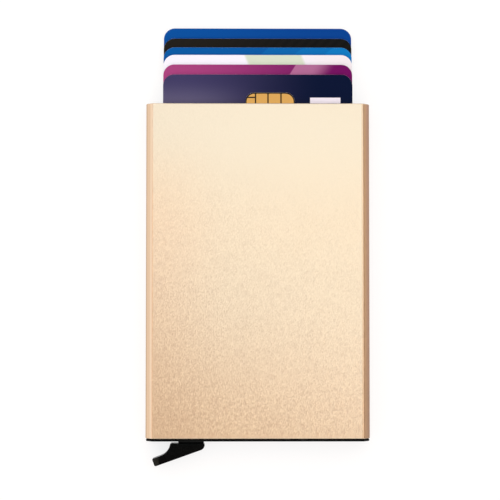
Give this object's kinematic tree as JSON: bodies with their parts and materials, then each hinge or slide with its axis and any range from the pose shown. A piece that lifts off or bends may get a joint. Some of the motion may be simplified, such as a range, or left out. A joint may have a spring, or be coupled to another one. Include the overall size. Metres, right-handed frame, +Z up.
{
  "type": "card protector",
  "caption": "Flat gold aluminium card case with a finger lever at its closed end that pushes the bank cards out of the open end as a staircase.",
  "frame": {"origin": "centre of the sleeve's flat back face, on which the case lies", "axes": "+X across the case, +Y along it towards the mouth, +Z up out of the front face"},
  "size_m": [0.0636, 0.1252, 0.008],
  "materials": {
    "gold_anodised": "bead-blasted, champagne-gold anodised",
    "black_nylon": "black moulded nylon, satin",
    "steel": "ground",
    "black_foam": "closed-cell foam",
    "grey_felt": "short felt",
    "card_blue": "laminated",
    "card_black": "laminated",
    "card_azure": "laminated",
    "card_white": "laminated",
    "card_magenta": "laminated",
    "card_navy": "laminated",
    "chip_gold": "gold plated"
  },
  "bodies": {
    "case": {"sleeve": "gold_anodised", "end_cap": "black_nylon", "pivot_pin": "steel", "guide_rail_left": "black_nylon", "guide_rail_right": "black_nylon", "foam_strip_left": "black_foam", "foam_strip_right": "black_foam", "felt_strip_left": "grey_felt", "felt_strip_right": "grey_felt", "felt_liner_back": "grey_felt", "felt_liner_front": "grey_felt"},
    "lever": {"ejector_lever": "black_nylon"},
    "card_1_body": {"card_1": "card_blue"},
    "card_2_body": {"card_2": "card_black"},
    "card_3_body": {"card_3": "card_azure"},
    "card_4_body": {"card_4": "card_white"},
    "card_5_body": {"card_5": "card_magenta"},
    "card_6_body": {"card_6": "card_navy", "card_chip": "chip_gold"}
  },
  "joints": [
    {"name": "lever_swing", "type": "hinge", "parent": "case", "child": "lever", "pos_m": [-0.0182, -0.04375, 0.004], "axis": [0, 0, 1], "range_deg": [0, 40]},
    {"name": "card_1_slide", "type": "slide", "parent": "case", "child": "card_1_body", "axis": [0, 1, 0], "range_m": [-0.0233, 0.0652]},
    {"name": "card_2_slide", "type": "slide", "parent": "case", "child": "card_2_body", "axis": [0, 1, 0], "range_m": [-0.0202, 0.0683]},
    {"name": "card_3_slide", "type": "slide", "parent": "case", "child": "card_3_body", "axis": [0, 1, 0], "range_m": [-0.0175, 0.071]},
    {"name": "card_4_slide", "type": "slide", "parent": "case", "child": "card_4_body", "axis": [0, 1, 0], "range_m": [-0.0152, 0.0733]},
    {"name": "card_5_slide", "type": "slide", "parent": "case", "child": "card_5_body", "axis": [0, 1, 0], "range_m": [-0.0123, 0.0762]},
    {"name": "card_6_slide", "type": "slide", "parent": "case", "child": "card_6_body", "axis": [0, 1, 0], "range_m": [-0.0093, 0.0792]}
  ]
}
